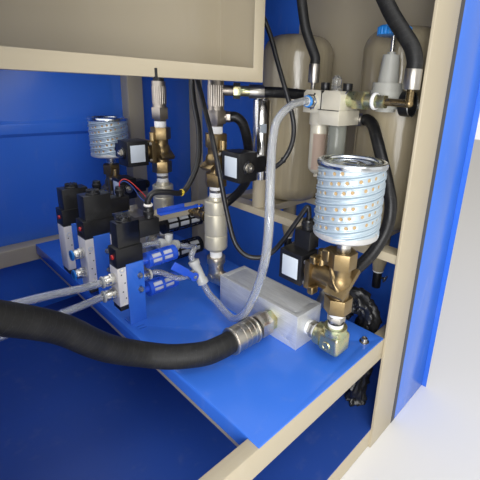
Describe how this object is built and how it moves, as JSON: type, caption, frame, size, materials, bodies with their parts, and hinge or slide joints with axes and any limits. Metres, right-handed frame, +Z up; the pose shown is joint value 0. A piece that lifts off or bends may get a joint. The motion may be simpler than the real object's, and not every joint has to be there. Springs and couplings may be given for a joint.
{
  "type": "blow moulding machine",
  "caption": "Base cabinet of a semi-automatic blow moulding machine with an open bay of air valves, silencers, filters, hoses and air vessels",
  "frame": {"origin": "on the floor under the middle of the cabinet, at the centre of the bounding box of the base", "axes": "X runs to the right across the open front, Y runs from the front to the back, Z is up"},
  "size_m": [0.84, 0.846, 0.9],
  "materials": {
    "frame_paint": "semi-gloss cream powder coat",
    "blue_paint": "semi-gloss blue powder coat",
    "black_rubber": "matt black rubber",
    "zinc_steel": "zinc plated steel",
    "black_plastic": "black moulded plastic",
    "milled_aluminium": "milled aluminium",
    "silencer_paint": "pale zinc blue sheet",
    "cast_brass": "cast and machined brass",
    "nickel_plate": "satin champagne plating",
    "white_tape": "white thread tape",
    "yellow_zinc": "yellow passivated zinc",
    "smoked_glass": "smoked polycarbonate in a metal guard",
    "clear_dome": "clear moulded dome",
    "grey_cast": "grey paint on die casting",
    "blue_plastic": "blue moulded plastic",
    "white_paint": "white enamel",
    "red_plastic": "red moulded plastic",
    "fitting_nickel": "nickel plate with pale plastic rings",
    "polished_steel": "polished stainless steel",
    "clear_tube": "clear flexible tube"
  },
  "bodies": {
    "cabinet": {"base_frame": "frame_paint", "tray_rails": "frame_paint", "vessel_cradle": "frame_paint", "back_panel": "blue_paint", "side_panels": "blue_paint", "liner_panel": "frame_paint", "level_sheets": "blue_paint", "front_panel": "blue_paint", "door_gasket": "black_rubber", "valve_tray": "blue_paint", "fasteners": "zinc_steel", "electrical_box": "frame_paint", "air_vessels": "frame_paint", "vessel_drains": "black_plastic", "manifold_blocks": "milled_aluminium", "silencers": "silencer_paint", "pilot_valves": "cast_brass", "valve_coils": "black_plastic", "check_valves": "nickel_plate", "line_nipples": "zinc_steel", "thread_tape": "white_tape", "line_elbows": "yellow_zinc", "hose_ends": "zinc_steel", "filter_body": "nickel_plate", "oiler_body": "nickel_plate", "filter_bowl": "nickel_plate", "oiler_bowl": "smoked_glass", "sight_dome": "clear_dome", "pressure_regulator": "grey_cast", "pressure_gauge": "black_plastic", "supply_pipe": "cast_brass", "spool_valves": "white_paint", "pilot_heads": "black_plastic", "valve_brackets": "blue_paint", "push_fittings": "fitting_nickel", "mufflers": "blue_plastic", "ball_valves": "cast_brass", "polished_cylinder": "polished_steel", "cable_sleeve": "black_rubber", "pressure_hose": "black_rubber", "loop_hose": "black_rubber", "supply_hose": "black_rubber", "filter_hose": "black_rubber", "cross_hose": "black_rubber", "branch_hose": "black_rubber", "riser_hoses": "black_rubber", "pilot_tube": "clear_tube", "valve_tubes": "clear_tube", "front_coil_cable": "black_rubber", "middle_coil_cable": "black_rubber", "spool_cable": "black_rubber", "lip_cable": "black_rubber"},
    "front_button": {"front_button": "red_plastic"},
    "middle_button": {"middle_button": "red_plastic"},
    "rear_button": {"rear_button": "red_plastic"},
    "upper_lever": {"upper_lever": "blue_plastic"},
    "lower_lever": {"lower_lever": "blue_plastic"},
    "filter_knob": {"filter_knob": "black_plastic"},
    "oiler_knob": {"oiler_knob": "black_plastic"},
    "hand_knob": {"hand_knob": "blue_plastic"}
  },
  "joints": [
    {"name": "front_button_press", "type": "slide", "parent": "cabinet", "child": "front_button", "axis": [1, 0, 0], "range_m": [0, 0.0015], "stiffness_N_per_m": 200},
    {"name": "middle_button_press", "type": "slide", "parent": "cabinet", "child": "middle_button", "axis": [1, 0, 0], "range_m": [0, 0.0015], "stiffness_N_per_m": 200},
    {"name": "rear_button_press", "type": "slide", "parent": "cabinet", "child": "rear_button", "axis": [1, 0, 0], "range_m": [0, 0.0015], "stiffness_N_per_m": 200},
    {"name": "upper_lever_turn", "type": "hinge", "parent": "cabinet", "child": "upper_lever", "pos_m": [0.092, -0.02, 0.397], "axis": [0, 0, 1], "range_deg": [-90, 0]},
    {"name": "lower_lever_turn", "type": "hinge", "parent": "cabinet", "child": "lower_lever", "pos_m": [0.003, -0.1255, 0.309], "axis": [0, 1, 0], "range_deg": [0, 90]},
    {"name": "filter_knob_turn", "type": "hinge", "parent": "cabinet", "child": "filter_knob", "pos_m": [0.179, -0.251, 0.637], "axis": [0, 0, 1], "range_deg": [-90, 0]},
    {"name": "oiler_knob_turn", "type": "hinge", "parent": "cabinet", "child": "oiler_knob", "pos_m": [0.185, -0.29, 0.637], "axis": [0, 0, 1], "range_deg": [0, 360]},
    {"name": "hand_knob_turn", "type": "hinge", "parent": "cabinet", "child": "hand_knob", "pos_m": [0.218, -0.341, 0.719], "axis": [0, 0, 1], "range_deg": [0, 1440]}
  ]
}
